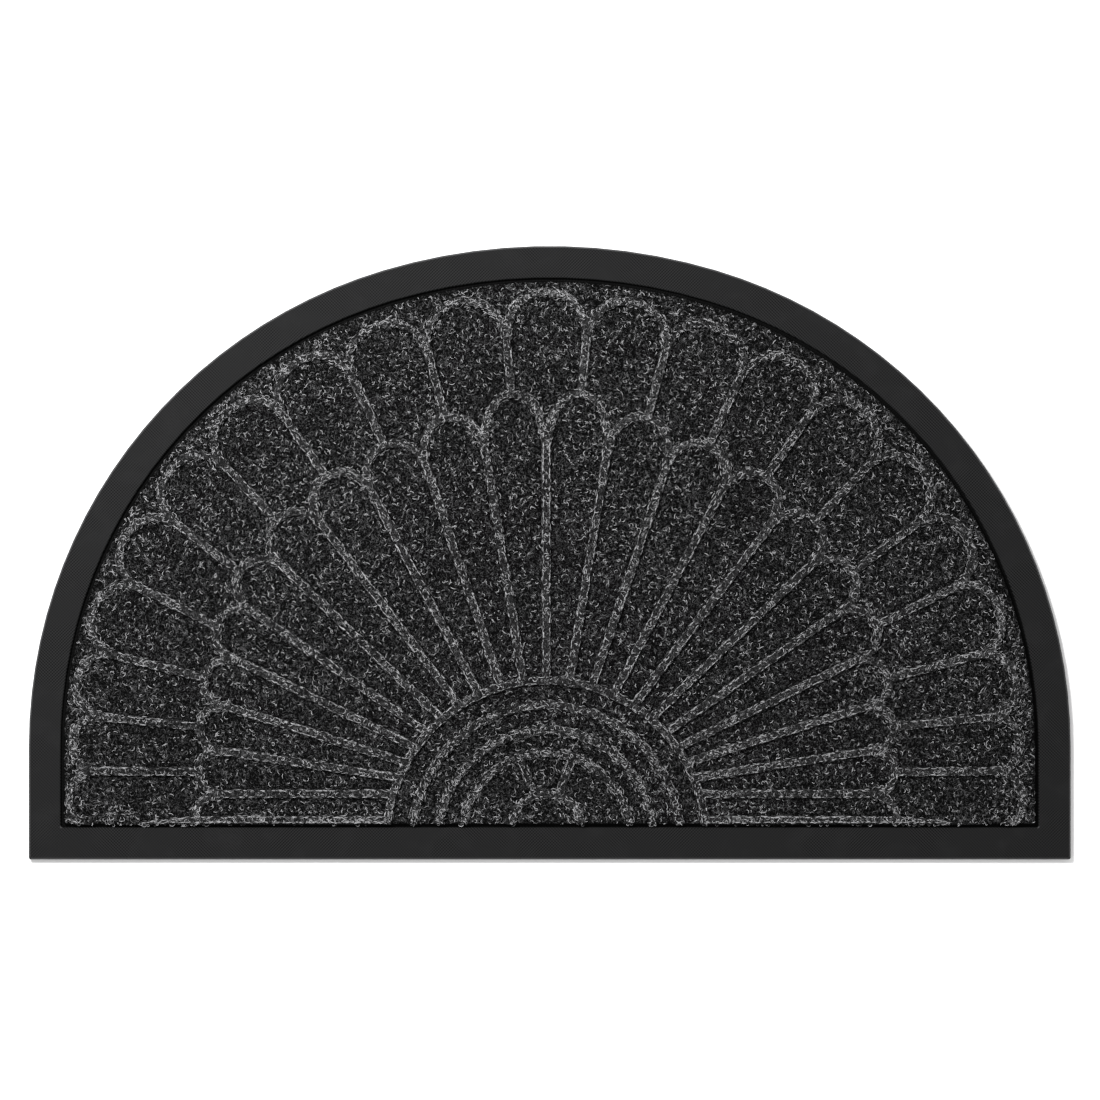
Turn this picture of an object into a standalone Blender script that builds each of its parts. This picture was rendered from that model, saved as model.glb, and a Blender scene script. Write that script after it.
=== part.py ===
"""Half round doormat: a moulded rubber tray with a flat border, and the ribbed carpet that lies in it.

Metres, +Z up. The straight edge lies towards -Y and the arch faces +Y. The origin is on the
underside, below the middle of the mat's box.
"""

import math

import bpy
import numpy as np
from mathutils import Vector
from mathutils.geometry import delaunay_2d_cdt

# Outline: straight edge, two short straight sides, two shoulder arcs and a flatter arc on top
WIDTH = 0.760
DEPTH = 0.4475
SIDE_LENGTH = 0.0827
SHOULDER_RADIUS = 0.3622
CORNER_RADIUS = 0.0015
ARC_STEP = math.radians(3.0)
CORNER_STEPS = 3

# Rubber tray
TRAY_FLOOR = 0.0020
BORDER_HEIGHT = 0.0050
BORDER_WIDTH = 0.0232
RIM_BEVEL = 0.0012
RIM_BEVEL_DROP = 0.0008
LIP_BEVEL = 0.0005

# Carpet, with heights above the mat's underside
GROOVE_WIDTH = 0.0024
SEAT_GAP = 0.0003
CARPET_TOP = 0.0054
RIDGE_TOP = 0.0078
RIDGE_TOP_WIDTH = 0.0052
RIDGE_FOOT_WIDTH = 0.0072
EDGE_ROUNDING = 0.0018
EDGE_DROP = 0.0010

# Fan of ridges. Levels are measured from the straight edge, and directions in degrees from level
FAN_SHIFT = -0.0024
FAN_STEP = 9.0
FAN_FLATTENING = 0.96
HALF_CIRCLE = 180.0
FOOT_RIDGE_INSET = 0.0030

# Arches round the hub, from the smallest, on which the spokes stand. Each has its own centre level
ARCHES = (
    {"level": 0.0222, "radius": 0.0260},
    {"level": 0.0164, "radius": 0.0613},
    {"level": 0.0160, "radius": 0.0782},
    {"level": 0.0154, "radius": 0.0972},
    {"level": 0.0142, "radius": 0.1166},
)
ARCH_POINT_SPACING = 0.007
SPOKE_DIRECTIONS = (71.0, 109.0)
SPOKE_LENGTH = 0.0298

# Petal rings. A ring's ridges, run on, cross the fan's middle line at a hub that lies further from the
# straight edge for the ridges at the sides. Its petals reach further at the top. Both values ease from
# the side's to the top's, which holds from a direction on. A higher reach power keeps the side's longer.
# A cap's height is a share of half its width, and the crown is what the petals at the top add to it.
INNER_RING = {
    "side_hub": 0.0480,
    "top_hub": 0.0281,
    "top_hub_from": 60.0,
    "side_reach": 0.2355,
    "top_reach": 0.2727,
    "top_reach_from": 60.0,
    "reach_power": 2.0,
    "cap": 1.2,
    "crown": 0.85,
}
OUTER_RING = {
    "side_hub": 0.0463,
    "top_hub": 0.0237,
    "top_hub_from": 25.0,
    "side_reach": 0.3262,
    "top_reach": 0.3577,
    "top_reach_from": 70.0,
    "reach_power": 1.3,
    "cap": 1.0,
    "crown": 0.15,
}
CROWN_SPREAD = 18.0
CAP_SEGMENTS = 10
CAP_ROUNDNESS = 0.9

# Carpet's net: the most that a ridge's sides are drawn out at a bend, and how near two points are one
MITRE_LIMIT = 2.0
NET_TOLERANCE = 0.00015

RUBBER = {"name": "black_rubber", "colour": (0.020, 0.020, 0.021, 1.0), "roughness": 0.62}
FIBRE = {"name": "charcoal_fibre", "colour": (0.030, 0.030, 0.032, 1.0), "roughness": 0.95}


def clear_scene():
    for obj in list(bpy.data.objects):
        bpy.data.objects.remove(obj, do_unlink=True)


def material(look):
    made = bpy.data.materials.new(look["name"])
    made.use_nodes = True
    shader = made.node_tree.nodes["Principled BSDF"]
    shader.inputs["Base Color"].default_value = look["colour"]
    shader.inputs["Roughness"].default_value = look["roughness"]
    shader.inputs["Metallic"].default_value = 0.0
    return made


def add_object(name, points, faces, look):
    mesh = bpy.data.meshes.new(name)
    mesh.from_pydata(points, [], faces)
    mesh.validate()
    mesh.materials.append(material(look))
    obj = bpy.data.objects.new(name, mesh)
    bpy.context.scene.collection.objects.link(obj)
    return obj


# The mat's outline, in plan: x from the middle and y from the straight edge


def top_arc():
    """Radius, centre level and half angle of the arc that joins the two shoulder arcs smoothly."""
    across = WIDTH / 2 - SHOULDER_RADIUS
    rise = DEPTH - SHOULDER_RADIUS - SIDE_LENGTH
    extra = (across**2 + rise**2) / (2 * rise)
    centre_level = SIDE_LENGTH + rise - extra
    half_angle = math.atan2(across, SIDE_LENGTH - centre_level)
    return SHOULDER_RADIUS + extra, centre_level, half_angle


def arc(centre, radius, start, end, steps):
    angles = np.linspace(start, end, steps + 1)
    return [(centre[0] + radius * math.cos(a), centre[1] + radius * math.sin(a)) for a in angles]


def outline(inset):
    """The mat's outline moved in by inset, anticlockwise, with the same number of points for any inset."""
    radius, level, half_angle = top_arc()
    quarter = math.pi / 2
    shoulder_x = WIDTH / 2 - SHOULDER_RADIUS
    shoulder_radius = SHOULDER_RADIUS - inset
    shoulder_steps = round((quarter - half_angle) / ARC_STEP)
    top_steps = round(2 * half_angle / ARC_STEP)
    top_start = quarter - half_angle
    top_end = quarter + half_angle
    corner_x = WIDTH / 2 - inset - CORNER_RADIUS
    corner_y = inset + CORNER_RADIUS
    left_shoulder = (-shoulder_x, SIDE_LENGTH)
    right_shoulder = (shoulder_x, SIDE_LENGTH)
    return [
        *arc((-corner_x, corner_y), CORNER_RADIUS, 2 * quarter, 3 * quarter, CORNER_STEPS),
        *arc((corner_x, corner_y), CORNER_RADIUS, -quarter, 0, CORNER_STEPS),
        *arc(right_shoulder, shoulder_radius, 0, top_start, shoulder_steps)[:-1],
        *arc((0, level), radius - inset, top_start, top_end, top_steps),
        *arc(left_shoulder, shoulder_radius, top_end, 2 * quarter, shoulder_steps)[1:],
    ]


def inset_of(points):
    """How far inside the mat's outline each plan point lies. It is negative outside."""
    radius, level, half_angle = top_arc()
    x = np.abs(points[:, 0])
    y = points[:, 1]
    shoulder_x = WIDTH / 2 - SHOULDER_RADIUS
    from_shoulder = SHOULDER_RADIUS - np.hypot(x - shoulder_x, y - SIDE_LENGTH)
    from_top = radius - np.hypot(x, y - level)
    under_top_arc = np.arctan2(x, y - level) < half_angle
    from_arch = np.where(under_top_arc, from_top, from_shoulder)
    above_sides = np.where(y > SIDE_LENGTH, from_arch, WIDTH / 2 - x)
    return np.minimum(above_sides, y)


# The fan's ridges, as lines in plan: x from the fan's middle line and y from the straight edge


def eased(side_value, top_value, direction, top_from, power=1.0):
    """A value that eases from the one at the fan's sides to the one at its top."""
    from_level = max(min(direction, HALF_CIRCLE - direction), 0)
    ease = math.sin(min(from_level / top_from, 1) * math.pi / 2) ** power
    return side_value + (top_value - side_value) * ease


def hub(ring, direction):
    return Vector((0, eased(ring["side_hub"], ring["top_hub"], direction, ring["top_hub_from"])))


def along(direction):
    """Unit vector of a ridge. The fan's even steps are flattened a little."""
    angle = math.radians(direction)
    return Vector((math.cos(angle), FAN_FLATTENING * math.sin(angle))).normalized()


def ridge_end(ring, direction):
    """Where the ridge of this direction ends and the round caps on both its sides begin."""
    reaches = (ring["side_reach"], ring["top_reach"])
    reach = eased(*reaches, direction, ring["top_reach_from"], ring["reach_power"])
    return hub(ring, direction) + along(direction) * reach


def fingertip(turn):
    """A point of a half circle of radius one, made a little squarer."""
    across = math.copysign(abs(math.cos(turn)) ** CAP_ROUNDNESS, math.cos(turn))
    return across, abs(math.sin(turn)) ** CAP_ROUNDNESS


def cap(ring, direction):
    """The round end of the petal of this direction, between its two ridges' ends."""
    start = ridge_end(ring, direction - FAN_STEP / 2)
    end = ridge_end(ring, direction + FAN_STEP / 2)
    from_top = abs(HALF_CIRCLE / 2 - direction)
    height = ring["cap"] + ring["crown"] * max(1 - from_top / CROWN_SPREAD, 0)
    middle = (start + end) / 2
    half = (end - start) / 2
    outward = Vector((half.y, -half.x)) * height
    shape = [fingertip(turn) for turn in np.linspace(0, math.pi, CAP_SEGMENTS + 1)]
    return [middle - half * across + outward * up for across, up in shape]


def arch_crossing(direction):
    """Where the ridge of this direction leaves the largest arch."""
    arch = ARCHES[-1]
    start = hub(INNER_RING, direction)
    from_centre = start - Vector((0, arch["level"]))
    half_b = from_centre.dot(along(direction))
    reach = -half_b + math.sqrt(half_b**2 - from_centre.length_squared + arch["radius"] ** 2)
    return start + along(direction) * reach


def arch_lines():
    """The arches round the hub, and the spokes that stand on the smallest one."""
    lines = []
    for arch in ARCHES:
        steps = round(math.pi * arch["radius"] / ARCH_POINT_SPACING)
        circle = arc((0, arch["level"]), arch["radius"], 0, math.pi, steps)
        lines.append([Vector(point) for point in circle])
    smallest = ARCHES[0]
    for direction in SPOKE_DIRECTIONS:
        foot = Vector((0, smallest["level"])) + along(direction) * smallest["radius"]
        lines.append([foot, foot + along(direction) * SPOKE_LENGTH])
    return lines


def petal_lines():
    """The long ridges, the caps of the inner petals, the short ridges and the caps of the outer petals."""
    steps = round(HALF_CIRCLE / FAN_STEP)
    lines = []
    for direction in FAN_STEP * np.arange(steps + 1):
        lines.append([arch_crossing(direction), ridge_end(INNER_RING, direction)])
        lines.append(cap(OUTER_RING, direction))
    for direction in FAN_STEP * (np.arange(-1, steps + 1) + 1 / 2):
        inner_cap = cap(INNER_RING, direction)
        lines.append(inner_cap)
        lines.append([inner_cap[CAP_SEGMENTS // 2], ridge_end(OUTER_RING, direction)])
    return lines


def foot_lines():
    """The ridge along the carpet's straight edge, from the largest arch to the tips of the inner petals."""
    arch = ARCHES[-1]
    level = BORDER_WIDTH + GROOVE_WIDTH + FOOT_RIDGE_INSET
    near = math.sqrt(arch["radius"] ** 2 - (level - arch["level"]) ** 2)
    far = cap(INNER_RING, -FAN_STEP / 2)[CAP_SEGMENTS // 2].x
    return [[Vector((side * near, level)), Vector((side * far, level))] for side in (-1, 1)]


def ridge_lines():
    """All the ridges' middle lines, in plan, with x from the mat's middle."""
    shift = Vector((FAN_SHIFT, 0))
    return [[point + shift for point in line] for line in arch_lines() + petal_lines() + foot_lines()]


def beside(line, offset):
    """The line moved sideways by offset, with its corners kept sharp."""
    runs = [(after - before).normalized() for before, after in zip(line, line[1:])]
    moved = []
    for point, before, after in zip(line, runs[:1] + runs, runs + runs[-1:]):
        bisector = (before + after).normalized()
        stretch = min(1 / bisector.dot(after), MITRE_LIMIT)
        moved.append(point + Vector((-bisector.y, bisector.x)) * offset * stretch)
    return moved


# Solids


def lofted(loops):
    """Points and faces of a closed solid through stacked loops, from the underside to the last loop."""
    count = len(loops[0])
    points = [point for loop in loops for point in loop]
    faces = [list(range(count))[::-1]]
    for low in range(0, count * (len(loops) - 1), count):
        for index in range(count):
            after = (index + 1) % count
            faces.append([low + index, low + after, low + count + after, low + count + index])
    faces.append(list(range(count * (len(loops) - 1), count * len(loops))))
    return points, faces


def placed(plan, height):
    """Plan points at this height, with the mat's box centred on the origin."""
    return [(x, y - DEPTH / 2, height) for x, y in plan]


def rubber_tray():
    steps = (
        (0, 0),
        (0, BORDER_HEIGHT - RIM_BEVEL_DROP),
        (RIM_BEVEL, BORDER_HEIGHT),
        (BORDER_WIDTH - LIP_BEVEL, BORDER_HEIGHT),
        (BORDER_WIDTH, BORDER_HEIGHT - LIP_BEVEL),
        (BORDER_WIDTH, TRAY_FLOOR),
    )
    points, faces = lofted([placed(outline(inset), height) for inset, height in steps])
    return add_object("rubber_tray", points, faces, RUBBER)


def nearest_ridge(points, lines):
    """Distance from each plan point to the nearest ridge's middle line."""
    nearest = np.full(len(points), np.inf)
    for line in lines:
        for start, end in zip(line, line[1:]):
            run = np.array(end - start)
            offset = points - np.array(start)
            share = np.clip(offset @ run / (run @ run), 0, 1)
            nearest = np.minimum(nearest, np.hypot(*(offset - share[:, None] * run).T))
    return nearest


def carpet_heights(points, lines, edge_inset):
    """Height of the carpet's face: flat ground, ridges with sloping sides, and an edge that rounds off."""
    slope = (RIDGE_FOOT_WIDTH - RIDGE_TOP_WIDTH) / 2
    raised = np.clip((RIDGE_FOOT_WIDTH / 2 - nearest_ridge(points, lines)) / slope, 0, 1)
    at_edge = np.clip(1 - (inset_of(points) - edge_inset) / EDGE_ROUNDING, 0, 1)
    return CARPET_TOP + (RIDGE_TOP - CARPET_TOP) * raised - EDGE_DROP * at_edge


def carpet_net(lines, edge_inset):
    """The carpet's face as plan points and triangles, with edges along both sides of every ridge."""
    loops = [outline(inset) for inset in (edge_inset, edge_inset + EDGE_ROUNDING)]
    strips = [[Vector(point) for point in loop + loop[:1]] for loop in loops]
    for line in lines:
        for width in (RIDGE_TOP_WIDTH, RIDGE_FOOT_WIDTH):
            strips += [beside(line, width / 2), beside(line, -width / 2)]
    corners = [point for strip in strips for point in strip]
    edges = []
    first = 0
    for strip in strips:
        edges += [(index, index + 1) for index in range(first, first + len(strip) - 1)]
        first += len(strip)
    points, _, faces, *_ = delaunay_2d_cdt(corners, edges, [], 0, NET_TOLERANCE)
    points = np.array([tuple(point) for point in points])
    faces = np.array(faces)
    inside = inset_of(points[faces].mean(axis=1)) > edge_inset
    return points, faces[inside]


def border_loop(faces):
    """The points round the edge of a net of triangles, in the order in which its faces turn."""
    directed = {(a, b) for face in faces for a, b in zip(face, (*face[1:], face[0]))}
    follows = {a: b for a, b in directed if (b, a) not in directed}
    start = next(iter(follows))
    loop = [start]
    while follows[loop[-1]] != start:
        loop.append(follows[loop[-1]])
    return loop


def carpet():
    edge_inset = BORDER_WIDTH + GROOVE_WIDTH
    lines = ridge_lines()
    plan, faces = carpet_net(lines, edge_inset)
    heights = carpet_heights(plan, lines, edge_inset)
    faces = [tuple(int(index) for index in face) for face in faces]
    rim = border_loop(faces)
    points = [(x, y - DEPTH / 2, height) for (x, y), height in zip(plan, heights)]
    underside = len(points)
    points += [(*points[index][:2], TRAY_FLOOR + SEAT_GAP) for index in rim]
    for index, corner in enumerate(rim):
        after = (index + 1) % len(rim)
        faces.append((corner, underside + index, underside + after, rim[after]))
    faces.append(tuple(range(underside, len(points)))[::-1])
    return add_object("carpet", points, faces, FIBRE)


clear_scene()
rubber_tray()
carpet()
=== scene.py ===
"""Looks of the half round doormat: a ribbed, needle-punched carpet in a black rubber tray.

Metres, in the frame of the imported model. The carpet's solid is drawn again with a finer net and covered
with curled fibres. The rubber tray keeps its solid and gets a matte surface with a fine diagonal weave.
"""

import math

import bpy
import numpy as np
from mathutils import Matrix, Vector
from mathutils.bvhtree import BVHTree
from mathutils.geometry import delaunay_2d_cdt
from mathutils.kdtree import KDTree
from mathutils.noise import noise


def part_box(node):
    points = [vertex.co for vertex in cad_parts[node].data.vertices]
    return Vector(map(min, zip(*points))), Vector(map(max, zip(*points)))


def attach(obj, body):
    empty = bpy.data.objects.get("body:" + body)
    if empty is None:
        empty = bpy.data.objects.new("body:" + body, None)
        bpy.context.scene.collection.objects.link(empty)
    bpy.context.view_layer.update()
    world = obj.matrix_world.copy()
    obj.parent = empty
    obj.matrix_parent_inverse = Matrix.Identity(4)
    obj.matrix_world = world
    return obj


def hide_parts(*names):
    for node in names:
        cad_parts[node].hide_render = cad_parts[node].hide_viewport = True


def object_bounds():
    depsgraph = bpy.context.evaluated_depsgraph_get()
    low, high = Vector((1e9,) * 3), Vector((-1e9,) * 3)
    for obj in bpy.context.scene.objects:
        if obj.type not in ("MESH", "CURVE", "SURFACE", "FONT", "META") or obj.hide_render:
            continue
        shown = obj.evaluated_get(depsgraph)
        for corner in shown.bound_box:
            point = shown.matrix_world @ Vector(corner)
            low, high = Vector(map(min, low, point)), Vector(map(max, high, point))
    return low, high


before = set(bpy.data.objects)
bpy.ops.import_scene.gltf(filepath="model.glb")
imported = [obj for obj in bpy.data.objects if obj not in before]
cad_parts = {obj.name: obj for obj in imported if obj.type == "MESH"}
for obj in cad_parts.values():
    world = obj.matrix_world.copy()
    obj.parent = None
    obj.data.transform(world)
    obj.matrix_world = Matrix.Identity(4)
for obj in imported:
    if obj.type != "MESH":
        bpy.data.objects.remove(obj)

CAD_BOX = [list(corner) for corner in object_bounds()]
PILE_SEED = 41
GRID_SEED = 7

# Carpet's face: the faces of its solid that look up, and the finer net that is laid over them
LEAST_UPWARD = 0.1
MERGE_DECIMALS = 6
NET_SPACING = 0.0022
NET_JITTER = 0.35
NET_CLEARANCE = 0.0011
NET_TOLERANCE = 1e-5
CREASE_ANGLE = math.radians(4.0)
SHARP_ANGLE = math.radians(38.0)
UNEVENNESS = 0.00012

# Places on the face. Ridges and crests are told by how far they lie below the carpet's highest point, and
# flanks by the upward part of their normal. The rounding at the carpet's rim isn't a flank
HEIGHT_SPACING = 0.0008
RIDGE_DEPTH = 0.0012
CREST_DEPTH = 0.0002
FLANK_UPWARD = 0.9
RIM_WIDTH = 0.013
RIM_ROUNDING = 0.0024

# Fibres: four tones, and how many of each lie on the ground, on the ridges and along the ridges' crests.
# A tone is as many times denser as rim says near the carpet's rim, where the pile isn't pressed flat, and
# as flank says on the ridges' steep sides, where dark fibres crowd and light ones thin out as painted shade
# at the ridges' feet
FIBRE_COLUMNS = ("name", "grey", "ground", "ridge", "crest", "rim", "flank")
FIBRE_ROWS = (
    ("fibres_pale", 0.360, 7900, 7600, 10000, 1.8, 0.35),
    ("fibres_light", 0.105, 13200, 9200, 3800, 1.4, 0.4),
    ("fibres_middle", 0.036, 16000, 9800, 500, 1.0, 1.0),
    ("fibres_dark", 0.003, 19300, 9800, 0, 1.0, 3.4),
)
FIBRE_TONES = [dict(zip(FIBRE_COLUMNS, row)) for row in FIBRE_ROWS]

# A fibre's form. The tip is a share of its width, and one that reaches below the lowest height is left out
FIBRE_POINTS = 5
FIBRE_LENGTH = (0.0018, 0.0050)
FIBRE_WIDTH = (0.00024, 0.00042)
FIBRE_TIP = 0.5
FIBRE_RISE = (0.0002, 0.0007)
FIBRE_ROLL = (-0.6, 0.6)
FIBRE_CURL = (0.8, 4.4)
FIBRE_SINK = 0.00015
FIBRE_LOWEST = 0.0045

# How fibres lie along the ridges: neatly along straight ones and the largest arch round the hub, and more
# loosely round the other bends, whose edges are short. Climb is the most by which the face may rise under
# one fibre. The arch's middle is measured from the straight edge's
BEND_EDGE = 0.015
ARCH_MIDDLE = (-0.0024, 0.0142)
ARCH_REACH = (0.112, 0.121)
NEAT = {"density": 1.0, "spread": 0.00018, "heading": 0.16, "curl": 0.7, "climb": 0.0010}
LOOSE = {"density": 0.75, "spread": 0.00060, "heading": 0.50, "curl": 2.2, "climb": 0.0030}

# Small clumps and wide patches in which fibres lie denser, by how much on the ground and on the ridges
CLUMPS = (
    {"scale": 70.0, "ground": 0.7, "ridge": 0.35},
    {"scale": 9.0, "ground": 0.3, "ridge": 0.4},
)

# Materials. A noise's scale is in waves a metre. Patches are a noise between low and high, stretched to run
# from start to end. A pair of greys is mixed by a noise or a weave. A pair of heights, of wear or of upward
# parts of the normal is where one look gives way to the next
BLUE_TINT = 1.02

# Carpet's own material, under and between the fibres
GROUND_GREYS = (0.0002, 0.0026)
RIDGE_GREYS = (0.0014, 0.0170)
CARPET_MOTTLE = {"scale": 900.0, "detail": 3.0}
# Low on the carpet's edge, below these heights, the strands are left off as painted shade beside the groove
EDGE_SHADE_HEIGHTS = (0.0045, 0.0051)
RIDGE_HEIGHTS = (0.0064, 0.0075)
RIDGE_PATCHES = {"scale": 9.0, "detail": 1.0, "low": 0.35, "high": 0.6, "start": 0.4}
CARPET_ROUGHNESS = (0.98, 0.82)
CARPET_GRAIN = {"scale": 1400.0, "detail": 3.0}
CARPET_GRAIN_BUMP = {"strength": 0.5, "distance": 0.0004}
CARPET_SPECULAR = 0.03

# Strands drawn between the fibres: a line where a noise is near its middle, broken by a finer noise
STRANDS = (
    {"scale": 520.0, "width": 0.05, "offset": (0.31, 0.17, 0.05)},
    {"scale": 330.0, "width": 0.035, "offset": (0.77, 0.43, 0.11)},
)
STRAND_MIDDLE = 0.5
STRAND_NOISE = {"detail": 1.0, "distortion": 0.8}
BREAK_SCALE = 1.3
BREAK_DETAIL = 1.0
BREAK_SPAN = (0.42, 0.56)
STRAND_GREY = 0.10
STRAND_FADING = {"scale": 140.0}
STRAND_BUMP = {"strength": 0.6, "distance": 0.0005}

# Fibres' material, with a darker and a lighter shade of each tone
FIBRE_SHADES = (0.55, 1.5)
FIBRE_SHADING = {"scale": 260.0}
FIBRE_ROUGHNESS = {"scale": 700.0, "low": 0.3, "high": 0.7, "start": 0.62, "end": 0.85}
FIBRE_GRAIN = {"scale": 2500.0}
FIBRE_GRAIN_BUMP = {"strength": 0.4, "distance": 0.0002}
FIBRE_SPECULAR = 0.04

# Rubber's material: its weave and where that fades, then wear, dust, a painted highlight on the outer bevel
# and painted shade in the groove
WEAVE_PITCH = 0.0016
WEAVE_TURN = math.radians(45.0)
WEAVE_WAVE = (-0.6, 0.9)
WEAVE_MEAN = 0.45
WEAVE_GREYS = (0.0024, 0.0200)
WEAVE_BUMP = {"strength": 0.40, "distance": 0.0003}
TURN_PATCHES = {"scale": 14.0, "detail": 1.0, "low": 0.38, "high": 0.62, "start": 0.30, "end": 0.70}
CLEAR_PATCHES = {"scale": 32.0, "low": 0.35, "high": 0.6, "start": 0.35}
WEAR = {"scale": 45.0, "detail": 4.0, "distortion": 0.4}
DUST = {"scale": 600.0}
DUST_WEAR = (0.45, 0.75)
DUST_GREY = 0.015
# A painted highlight on the bevel round the tray's outside, told by the upward part of its normal
BEVEL_HIGHLIGHT_FROM = (0.74, 0.80)
BEVEL_HIGHLIGHT_TO = (0.86, 0.92)
BEVEL_HIGHLIGHT_GREY = 0.048
# Painted shade: the floor of the groove round the carpet, low down and facing up, is painted near black
GROOVE_SHADE_HEIGHTS = (0.0022, 0.0026)
GROOVE_SHADE_UPWARD = (0.4, 0.6)
GROOVE_SHADE_GREY = 0.0008
RUBBER_WEAR = (0.2, 0.8)
RUBBER_ROUGHNESS = (0.55, 0.70)
RUBBER_GRAIN = {"scale": 2200.0}
RUBBER_GRAIN_BUMP = {"strength": 0.25, "distance": 0.00015}
RUBBER_SPECULAR = 0.05

# Camera, from the photograph's width and the mat's middle in it, in pixels, and the real size of a pixel
PHOTO_PIXELS = 1100
PHOTO_MIDDLE = (549.7, 552.65)
PIXEL_SIZE = 0.7292e-3
LENS = 100.0
SENSOR = 36.0

# Light and floor
SOFTBOX_PLACE = (-0.60, 0.74, 1.22)
SOFTBOX_SIZE = 0.35
SOFTBOX_WATTS = 32.8
FILL_STRENGTH = 0.78
WHITE = (1.0, 1.0, 1.0, 1.0)
FLOOR_SIZE = 60.0
FLOOR_COLOUR = (0.96, 0.96, 0.96, 1.0)
FLOOR_ROUGHNESS = 0.9


# Shader nodes


class Nodes:
    """A material's node tree, with a short way to add and join nodes."""

    def __init__(self, name):
        self.material = bpy.data.materials.new(name)
        self.material.use_nodes = True
        self.tree = self.material.node_tree
        self.shader = self.tree.nodes["Principled BSDF"]
        self.place = self.add("ShaderNodeTexCoord").outputs["Object"]

    def add(self, kind, inputs=None, **settings):
        node = self.tree.nodes.new(kind)
        for name, value in settings.items():
            setattr(node, name, value)
        for name, value in (inputs or {}).items():
            self.put(node.inputs[name], value)
        return node

    def put(self, socket, value):
        if isinstance(value, bpy.types.NodeSocket):
            self.tree.links.new(value, socket)
        else:
            socket.default_value = value

    def math(self, operation, *values):
        node = self.add("ShaderNodeMath", operation=operation)
        for socket, value in zip(node.inputs, values):
            self.put(socket, value)
        return node.outputs[0]

    def axis(self, vector, name):
        return self.add("ShaderNodeSeparateXYZ", {"Vector": vector}).outputs[name]

    def moved(self, offset):
        inputs = {0: self.place, 1: offset}
        return self.add("ShaderNodeVectorMath", inputs, operation="ADD").outputs[0]

    def noise(self, scale, detail=2.0, distortion=0.0, vector=None):
        place = vector or self.place
        inputs = {"Vector": place, "Scale": scale, "Detail": detail, "Distortion": distortion}
        return self.add("ShaderNodeTexNoise", inputs).outputs["Fac"]

    def span(self, value, low, high, start=0.0, end=1.0):
        names = ("Value", "From Min", "From Max", "To Min", "To Max")
        inputs = dict(zip(names, (value, low, high, start, end)))
        return self.add("ShaderNodeMapRange", inputs, interpolation_type="SMOOTHSTEP").outputs["Result"]

    def patches(self, scale, low, high, start=0.0, end=1.0, detail=2.0):
        return self.span(self.noise(scale, detail), low, high, start, end)

    def mix(self, share, first, second):
        """A mixed colour. This node has sockets of like name, so its sockets are told by number."""
        node = self.add("ShaderNodeMix", {0: share, 6: first, 7: second}, data_type="RGBA")
        return node.outputs[2]

    def bump(self, height, strength, distance, normal=None):
        inputs = {"Height": height, "Strength": strength, "Distance": distance}
        if normal:
            inputs["Normal"] = normal
        return self.add("ShaderNodeBump", inputs).outputs["Normal"]

    def finished(self, colour, roughness, normal, specular):
        """The material with what varies joined to its shader, and one specular level all over."""
        self.put(self.shader.inputs["Base Color"], colour)
        self.put(self.shader.inputs["Roughness"], roughness)
        self.put(self.shader.inputs["Normal"], normal)
        self.shader.inputs["Specular IOR Level"].default_value = specular
        return self.material


def grey(value):
    return (value, value, value * BLUE_TINT, 1.0)


def strand_lines(nodes, scale, width, offset):
    """Thin, broken, curling lines."""
    waves = nodes.noise(scale, vector=nodes.moved(offset), **STRAND_NOISE)
    from_middle = nodes.math("ABSOLUTE", nodes.math("SUBTRACT", waves, STRAND_MIDDLE))
    thin = nodes.span(from_middle, 0.0, width, 1.0, 0.0)
    breaks = nodes.noise(scale * BREAK_SCALE, BREAK_DETAIL, vector=nodes.moved(offset[::-1]))
    return nodes.math("MULTIPLY", thin, nodes.span(breaks, *BREAK_SPAN))


def carpet_material():
    """Dark fibre ground and lighter ridges, with strands drawn on both but left off low on the carpet's
    edge as painted shade.
    """
    nodes = Nodes("charcoal_carpet")
    height = nodes.axis(nodes.place, "Z")
    on_ridge = nodes.math("MULTIPLY", nodes.span(height, *RIDGE_HEIGHTS), nodes.patches(**RIDGE_PATCHES))
    mottle = nodes.noise(**CARPET_MOTTLE)
    ground, ridge = (nodes.mix(mottle, *map(grey, pair)) for pair in (GROUND_GREYS, RIDGE_GREYS))
    base = nodes.mix(on_ridge, ground, ridge)
    strands = nodes.math("MAXIMUM", *(strand_lines(nodes, **row) for row in STRANDS))
    # Strands left off low on the carpet's edge: painted shade beside the groove
    strands_above_edge_shade = nodes.math("MULTIPLY", strands, nodes.span(height, *EDGE_SHADE_HEIGHTS))
    shown = nodes.math("MULTIPLY", strands_above_edge_shade, nodes.noise(**STRAND_FADING))
    colour = nodes.mix(shown, base, grey(STRAND_GREY))
    roughness = nodes.span(strands, 0.0, 1.0, *CARPET_ROUGHNESS)
    grain = nodes.bump(nodes.noise(**CARPET_GRAIN), **CARPET_GRAIN_BUMP)
    normal = nodes.bump(strands, normal=grain, **STRAND_BUMP)
    return nodes.finished(colour, roughness, normal, CARPET_SPECULAR)


def fibre_material(tone):
    nodes = Nodes(tone["name"])
    low, high = (grey(tone["grey"] * shade) for shade in FIBRE_SHADES)
    colour = nodes.mix(nodes.noise(**FIBRE_SHADING), low, high)
    normal = nodes.bump(nodes.noise(**FIBRE_GRAIN), **FIBRE_GRAIN_BUMP)
    return nodes.finished(colour, nodes.patches(**FIBRE_ROUGHNESS), normal, FIBRE_SPECULAR)


def hatch(nodes, turn):
    """Fine parallel ribs, turned about +Z."""
    inputs = {"Vector": nodes.place, "Rotation": (0.0, 0.0, turn)}
    turned = nodes.add("ShaderNodeMapping", inputs).outputs["Vector"]
    across = nodes.axis(turned, "X")
    wave = nodes.math("SINE", nodes.math("MULTIPLY", across, 2 * math.pi / WEAVE_PITCH))
    return nodes.span(wave, *WEAVE_WAVE)


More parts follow.
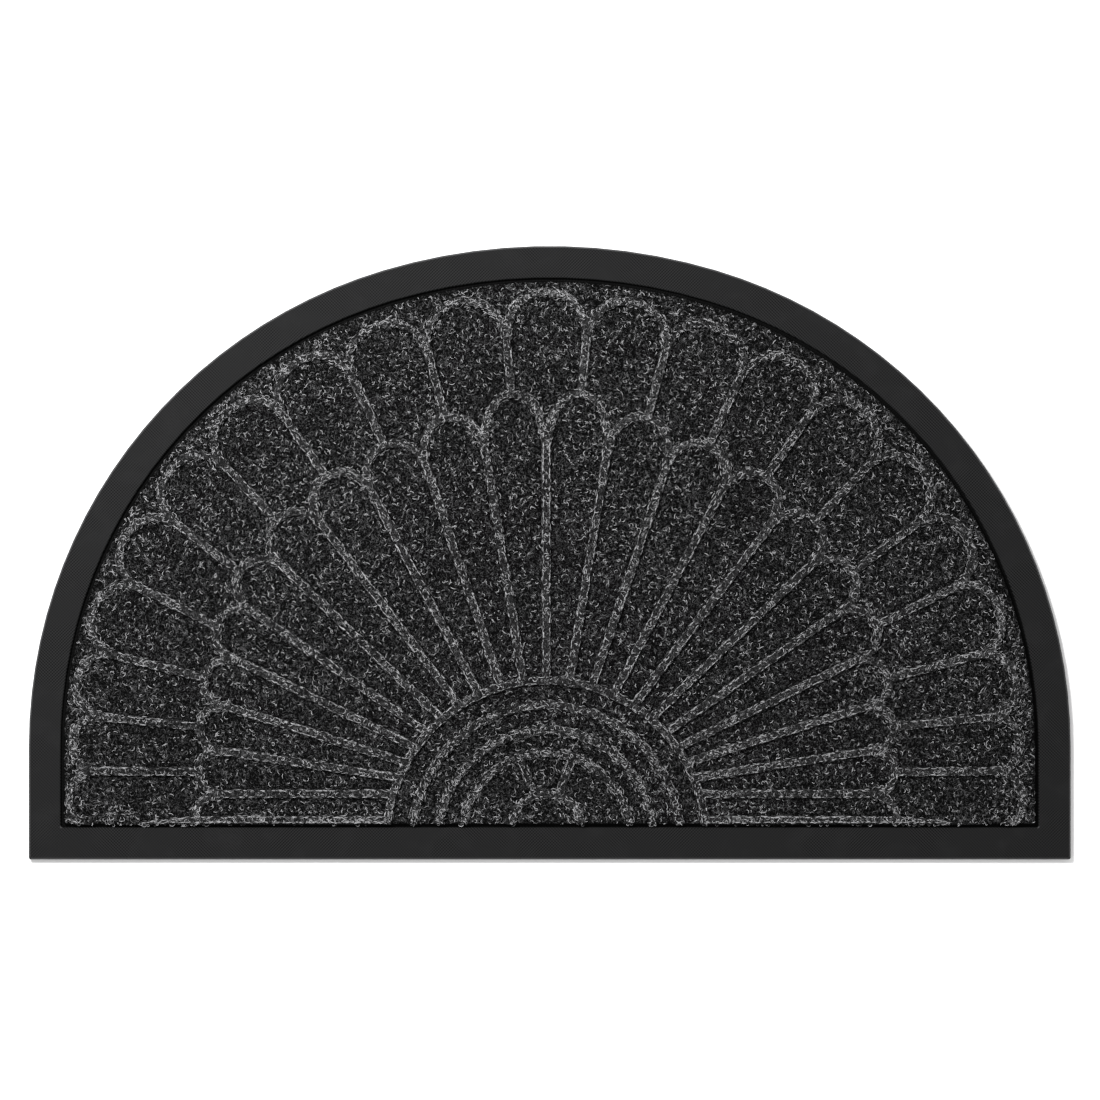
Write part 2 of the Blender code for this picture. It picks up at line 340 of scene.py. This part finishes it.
def weave_of(nodes):
    """A diagonal weave, in which one direction or the other stands out, and which fades patch by patch."""
    share = nodes.patches(**TURN_PATCHES)
    rising = nodes.math("MULTIPLY", hatch(nodes, WEAVE_TURN), share)
    falling = nodes.math("MULTIPLY", hatch(nodes, -WEAVE_TURN), nodes.math("SUBTRACT", 1.0, share))
    uneven = nodes.math("SUBTRACT", nodes.math("ADD", rising, falling), WEAVE_MEAN)
    faded = nodes.math("MULTIPLY", uneven, nodes.patches(**CLEAR_PATCHES))
    return nodes.math("ADD", faded, WEAVE_MEAN)


def rubber_material():
    """Black rubber with a weave, a little dust, a painted highlight on the bevel round the outside and
    painted shade in the groove.
    """
    nodes = Nodes("moulded_rubber")
    weave = weave_of(nodes)
    worn = nodes.noise(**WEAR)
    dusty = nodes.math("MULTIPLY", nodes.span(worn, *DUST_WEAR), nodes.noise(**DUST))
    woven = nodes.mix(weave, *map(grey, WEAVE_GREYS))
    face = nodes.mix(dusty, woven, grey(DUST_GREY))

    height = nodes.axis(nodes.place, "Z")
    upward = nodes.axis(nodes.add("ShaderNodeNewGeometry").outputs["Normal"], "Z")
    # Painted highlight on the outer bevel
    below_bevel_highlight = nodes.span(upward, *BEVEL_HIGHLIGHT_TO, 1.0, 0.0)
    on_bevel_highlight = nodes.math("MULTIPLY", nodes.span(upward, *BEVEL_HIGHLIGHT_FROM), below_bevel_highlight)
    with_bevel_highlight = nodes.mix(on_bevel_highlight, face, grey(BEVEL_HIGHLIGHT_GREY))
    # Painted shade on the floor of the groove round the carpet
    low_down = nodes.span(height, *GROOVE_SHADE_HEIGHTS, 1.0, 0.0)
    groove_shade = nodes.math("MULTIPLY", low_down, nodes.span(upward, *GROOVE_SHADE_UPWARD))
    colour = nodes.mix(groove_shade, with_bevel_highlight, grey(GROOVE_SHADE_GREY))

    roughness = nodes.span(worn, *RUBBER_WEAR, *RUBBER_ROUGHNESS)
    grain = nodes.bump(nodes.noise(**RUBBER_GRAIN), **RUBBER_GRAIN_BUMP)
    normal = nodes.bump(weave, normal=grain, **WEAVE_BUMP)
    return nodes.finished(colour, roughness, normal, RUBBER_SPECULAR)


# Carpet's face, read from its solid


def solid_of(node):
    """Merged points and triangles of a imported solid."""
    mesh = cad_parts[node].data
    mesh.calc_loop_triangles()
    points = np.array([vertex.co for vertex in mesh.vertices])
    triangles = np.array([triangle.vertices for triangle in mesh.loop_triangles])
    rounded = points.round(MERGE_DECIMALS)
    _, first, merged = np.unique(rounded, axis=0, return_index=True, return_inverse=True)
    return points[first], merged.reshape(-1)[triangles]


def normals_of(points, triangles):
    a, b, c = (points[triangles[:, corner]] for corner in range(3))
    normals = np.cross(b - a, c - a)
    return normals / np.linalg.norm(normals, axis=1)[:, None]


def creases_of(points, triangles):
    """Edges of the face's rim, and those where its slope changes."""
    normals = normals_of(points, triangles)
    beside = {}
    for index, (a, b, c) in enumerate(triangles):
        for edge in ((a, b), (b, c), (c, a)):
            beside.setdefault(tuple(sorted(edge)), []).append(normals[index])
    least = math.cos(CREASE_ANGLE)
    return [edge for edge, sides in beside.items() if len(sides) == 1 or sides[0] @ sides[1] < least]


def divided(points, edges):
    """The edges cut into even lengths near the net's spacing, as new points and edges."""
    new_points = list(points)
    new_edges = []
    for start, end in edges:
        steps = max(round(np.linalg.norm(points[end] - points[start]) / NET_SPACING), 1)
        inner = range(len(new_points), len(new_points) + steps - 1)
        shares = np.arange(1, steps) / steps
        new_points += [points[start] + (points[end] - points[start]) * share for share in shares]
        chain = [start, *inner, end]
        new_edges += list(zip(chain, chain[1:]))
    return np.array(new_points), new_edges


def heights_below(tree, places):
    """Height of the face at each place, or nan beside it."""
    top = CAD_BOX[1][2] + NET_SPACING
    hits = (tree.ray_cast(Vector((x, y, top)), Vector((0, 0, -1)))[0] for x, y in places)
    return np.array([hit.z if hit else np.nan for hit in hits])


def spread_points(low, high, near):
    """An uneven grid of places between two corners, clear of the points in near."""
    random = np.random.default_rng(GRID_SEED)
    x, y = (np.arange(low[axis], high[axis], NET_SPACING) for axis in (0, 1))
    grid = np.stack(np.meshgrid(x, y), axis=-1).reshape(-1, 2)
    grid += random.uniform(-NET_JITTER, NET_JITTER, grid.shape) * NET_SPACING
    taken = KDTree(len(near))
    for index, (x, y, _) in enumerate(near):
        taken.insert((x, y, 0), index)
    taken.balance()
    free = [taken.find((x, y, 0))[2] > NET_CLEARANCE for x, y in grid]
    return grid[np.array(free)]


def carpet_face(points, triangles, creases, tree):
    """A finer, slightly uneven net over the carpet's face, with an edge along each crease."""
    used = np.unique(triangles)
    corners, edges = divided(points, creases)
    low, high = points[used].min(axis=0), points[used].max(axis=0)
    grid = spread_points(low, high, corners[len(points):])
    heights = heights_below(tree, grid)
    grid = np.column_stack([grid, heights])[~np.isnan(heights)]
    crease_points = np.unique(np.array(edges))
    renumbered = {old: new for new, old in enumerate(crease_points)}
    edges = [(renumbered[a], renumbered[b]) for a, b in edges]
    start = np.vstack([corners[crease_points], grid])
    plan = [Vector(point[:2]) for point in start]
    flat, _, faces, origins, *_ = delaunay_2d_cdt(plan, edges, [], 1, NET_TOLERANCE, True)
    heights = np.array([start[origin[0]][2] for origin in origins])
    heights += np.random.default_rng(PILE_SEED).normal(0, UNEVENNESS, len(heights))
    flat = np.array([tuple(point) for point in flat])
    return np.column_stack([flat, heights]), [tuple(face) for face in faces]


def rim_of(triangles):
    """The points round a net's edge, in the order in which its triangles turn."""
    directed = {(a, b) for triangle in triangles for a, b in zip(triangle, (*triangle[1:], triangle[0]))}
    follows = {a: b for a, b in directed if (b, a) not in directed}
    start = next(iter(follows))
    loop = [start]
    while follows[loop[-1]] != start:
        loop.append(follows[loop[-1]])
    return loop


def closed_below(points, faces, back):
    """Points and faces of the net closed by straight sides and a flat back at this height."""
    rim = rim_of(faces)
    under = len(points)
    lowered = points[rim]
    lowered[:, 2] = back
    sides = []
    for index, corner in enumerate(rim):
        after = (index + 1) % len(rim)
        sides.append((corner, under + index, under + after, rim[after]))
    bottom = tuple(range(under, under + len(rim)))[::-1]
    return np.vstack([points, lowered]), [*faces, *sides, bottom]


def add_mesh(name, points, faces, material):
    mesh = bpy.data.meshes.new(name)
    mesh.from_pydata(points, [], faces)
    mesh.materials.append(material)
    mesh.shade_smooth()
    made = bpy.data.objects.new(name, mesh)
    bpy.context.scene.collection.objects.link(made)
    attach(made, "root")
    return made


# Fibres


class Ground:
    """Heights of the carpet's face on an even grid, read between its points, and nan beside the face."""

    def __init__(self, tree, low, high):
        self.low = low[:2]
        x, y = (np.arange(low[axis], high[axis] + HEIGHT_SPACING, HEIGHT_SPACING) for axis in (0, 1))
        places = np.stack(np.meshgrid(x, y), axis=-1).reshape(-1, 2)
        self.heights = heights_below(tree, places).reshape(len(y), len(x))

    def at(self, places):
        across = (places - self.low) / HEIGHT_SPACING
        most = np.array(self.heights.shape[::-1]) - 2
        cell = np.clip(np.floor(across).astype(int), 0, most)
        share = np.clip(across - cell, 0, 1)
        x, y = cell[..., 0], cell[..., 1]
        right, up = share[..., 0], share[..., 1]
        near = self.heights[y, x] * (1 - right) + self.heights[y, x + 1] * right
        far = self.heights[y + 1, x] * (1 - right) + self.heights[y + 1, x + 1] * right
        return near * (1 - up) + far * up


def fibre_roots(points, triangles, flank, density, count, random):
    """Random places on these triangles, with a heading, a curl and a climb for each.

    On a flank the fibres run along it.
    """
    a, b, c = (points[triangles[:, corner]] for corner in range(3))
    share = np.linalg.norm(np.cross(b - a, c - a), axis=1) * density
    chosen = random.choice(len(triangles), count, p=share / share.sum())
    u, v = random.random((2, count, 1))
    folded = u + v > 1
    u, v = np.where(folded, 1 - u, u), np.where(folded, 1 - v, v)
    places = a[chosen] + (b - a)[chosen] * u + (c - a)[chosen] * v
    normals = normals_of(points, triangles)[chosen]
    level_line = np.arctan2(normals[:, 1], normals[:, 0]) + math.pi / 2
    along = level_line + random.normal(0, NEAT["heading"], count)
    headings = np.where(flank[chosen], along, random.uniform(0, 2 * math.pi, count))
    curled = random.uniform(*FIBRE_CURL, count) * random.choice((-1, 1), count)
    straighter = random.uniform(-NEAT["curl"], NEAT["curl"], count)
    climbs = np.full(count, NEAT["climb"])
    return places[:, :2], headings, np.where(flank[chosen], straighter, curled), climbs


def crest_roots(points, crests, count, random):
    """Random places along the ridges' upper edges, with headings that follow them neatly or loosely."""
    start, end = (points[crests[:, corner], :2] for corner in (0, 1))
    run = end - start
    length = np.linalg.norm(run, axis=1)
    reach = np.linalg.norm((start + end) / 2 - ARCH_MIDDLE - (0, CAD_BOX[0][1]), axis=1)
    on_arch = (reach > ARCH_REACH[0]) & (reach < ARCH_REACH[1])
    loose = (length < BEND_EDGE) & ~on_arch
    share = length * np.where(loose, LOOSE["density"], NEAT["density"])
    chosen = random.choice(len(crests), count, p=share / share.sum())
    names = ("spread", "heading", "curl", "climb")
    spread, heading, curl, climb = (np.where(loose[chosen], LOOSE[name], NEAT[name]) for name in names)
    places = start[chosen] + run[chosen] * random.random((count, 1))
    places += random.normal(0, 1, places.shape) * spread[:, None]
    headings = np.arctan2(run[chosen, 1], run[chosen, 0]) + random.normal(0, 1, count) * heading
    return places, headings, random.uniform(-1, 1, count) * curl, climb


def fibre_mesh(roots, headings, curls, climbs, ground, random):
    """Curled and rolled ribbons, with a left and a right edge at every point.

    None climbs further than it may, or hangs over the rim.
    """
    spans = FIBRE_LENGTH, FIBRE_WIDTH, FIBRE_RISE, FIBRE_ROLL
    length, width, rise, roll = (random.uniform(*span, (len(roots), 1)) for span in spans)
    share = np.linspace(0, 1, FIBRE_POINTS)
    angle = headings[:, None] + curls[:, None] * (share - 0.5)
    step = np.stack([np.cos(angle), np.sin(angle)], axis=-1) * (length / (FIBRE_POINTS - 1))[..., None]
    path = roots[:, None] + np.cumsum(step, axis=1) - step.sum(axis=1, keepdims=True) / 2
    level = ground.at(path)
    kept = (level.min(axis=1) > FIBRE_LOWEST) & (np.ptp(level, axis=1) < climbs)
    path, level, angle, width, rise, roll = (item[kept] for item in (path, level, angle, width, rise, roll))
    arched = np.sin(share * math.pi)
    half = width * (FIBRE_TIP + (1 - FIBRE_TIP) * arched) / 2
    middle = np.concatenate([path, (level + rise * arched - FIBRE_SINK)[..., None]], axis=-1)
    flat = np.cos(roll)
    raised = np.broadcast_to(np.sin(roll), angle.shape)
    aside = np.stack([-np.sin(angle) * flat, np.cos(angle) * flat, raised], axis=-1) * half[..., None]
    points = np.stack([middle + aside, middle - aside], axis=2).reshape(-1, 3)
    strip = np.array((0, 1, 3, 2)) + 2 * np.arange(FIBRE_POINTS - 1)[:, None]
    first = 2 * FIBRE_POINTS * np.arange(kept.sum())
    return points, (strip + first[:, None, None]).reshape(-1, 4)


def rim_distances(points, triangles):
    """How far each triangle's middle lies from the net's rim."""
    rim = rim_of([tuple(triangle) for triangle in triangles])
    tree = KDTree(len(rim))
    for index in rim:
        tree.insert(points[index], index)
    tree.balance()
    return np.array([tree.find(middle)[2] for middle in points[triangles].mean(axis=1)])


def clumps_of(middles, raised):
    """How much denser than usual the fibres are at each place."""
    density = np.ones(len(middles))
    for row in CLUMPS:
        waves = np.array([noise(middle * row["scale"]) for middle in middles])
        density += waves * np.where(raised, row["ridge"], row["ground"])
    return density


def pile(points, triangles):
    """The net on which fibres lie, and for each triangle where it lies and how dense they are there."""
    middles = points[triangles].mean(axis=1)
    raised = middles[:, 2] > CAD_BOX[1][2] - RIDGE_DEPTH
    from_rim = rim_distances(points, triangles)
    return {
        "points": points,
        "triangles": triangles,
        "raised": raised,
        "flank": (normals_of(points, triangles)[:, 2] < FLANK_UPWARD) & (from_rim > RIM_ROUNDING),
        "near_rim": from_rim < RIM_WIDTH,
        "clumps": clumps_of(middles, raised),
    }


def fibres(tone, net, crests, ground):
    """All the fibres of one tone, as one piece."""
    random = np.random.default_rng([PILE_SEED, tone["ground"]])
    at_rim = np.where(net["near_rim"], tone["rim"], 1.0)
    # Painted shade along the ridges' feet: on the steep sides dark fibres crowd and light ones thin out
    flank_shade_density = np.where(net["flank"], tone["flank"], 1.0)
    density = net["clumps"] * at_rim * flank_shade_density
    found = []
    for here, count in ((~net["raised"], tone["ground"]), (net["raised"], tone["ridge"])):
        chosen = net["triangles"][here], net["flank"][here], density[here]
        found.append(fibre_roots(net["points"], *chosen, count, random))
    found.append(crest_roots(*crests, tone["crest"], random))
    placed = (np.concatenate(part) for part in zip(*found))
    made = add_mesh(tone["name"], *fibre_mesh(*placed, ground, random), fibre_material(tone))
    return made


# Pieces


def carpet():
    points, triangles = solid_of("carpet")
    face = triangles[normals_of(points, triangles)[:, 2] > LEAST_UPWARD]
    tree = BVHTree.FromPolygons(points.tolist(), face.tolist())
    creases = np.array(creases_of(points, face))
    net_points, net_faces = carpet_face(points, face, creases, tree)
    shape = closed_below(net_points, net_faces, points[:, 2].min())
    made = add_mesh("carpet_pile", *shape, carpet_material())
    made.data.set_sharp_from_angle(angle=SHARP_ANGLE)
    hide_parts("carpet")

    low, high = (np.array(corner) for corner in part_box("carpet"))
    ground = Ground(tree, low, high)
    crests = creases[(points[creases][:, :, 2] > high[2] - CREST_DEPTH).all(axis=1)]
    net = pile(net_points, np.array(net_faces))
    loose = [fibres(tone, net, (points, crests), ground) for tone in FIBRE_TONES]


def rubber_tray():
    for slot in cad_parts["rubber_tray"].material_slots:
        slot.material = rubber_material()


# Floor, light and camera


def floor():
    nodes = Nodes("pale_floor")
    nodes.shader.inputs["Base Color"].default_value = FLOOR_COLOUR
    nodes.shader.inputs["Roughness"].default_value = FLOOR_ROUGHNESS
    half = FLOOR_SIZE / 2
    corners = [(-half, -half, 0), (half, -half, 0), (half, half, 0), (-half, half, 0)]
    mesh = bpy.data.meshes.new("floor")
    mesh.from_pydata(corners, [], [(0, 1, 2, 3)])
    mesh.materials.append(nodes.material)
    made = bpy.data.objects.new("floor", mesh)
    bpy.context.scene.collection.objects.link(made)


def light():
    softbox = bpy.data.lights.new("softbox", "AREA")
    softbox.energy = SOFTBOX_WATTS
    softbox.size = SOFTBOX_SIZE
    made = bpy.data.objects.new("softbox", softbox)
    made.location = SOFTBOX_PLACE
    made.rotation_euler = Vector(SOFTBOX_PLACE).to_track_quat("Z", "Y").to_euler()
    bpy.context.scene.collection.objects.link(made)
    world = bpy.data.worlds.new("studio")
    world.use_nodes = True
    background = world.node_tree.nodes["Background"]
    background.inputs["Color"].default_value = WHITE
    background.inputs["Strength"].default_value = FILL_STRENGTH
    bpy.context.scene.world = world


def camera():
    """Straight down, with the mat where it lies in the photograph."""
    lens = bpy.data.cameras.new("camera")
    lens.lens = LENS
    lens.sensor_width = SENSOR
    made = bpy.data.objects.new("camera", lens)
    right, down = (PHOTO_PIXELS / 2 - value for value in PHOTO_MIDDLE)
    border_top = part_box("rubber_tray")[1].z
    distance = PHOTO_PIXELS * PIXEL_SIZE * LENS / SENSOR
    made.location = (right * PIXEL_SIZE, -down * PIXEL_SIZE, border_top + distance)
    bpy.context.scene.collection.objects.link(made)
    bpy.context.scene.camera = made


rubber_tray()
carpet()
floor()
light()
camera()
bpy.context.scene.view_settings.view_transform = "Standard"
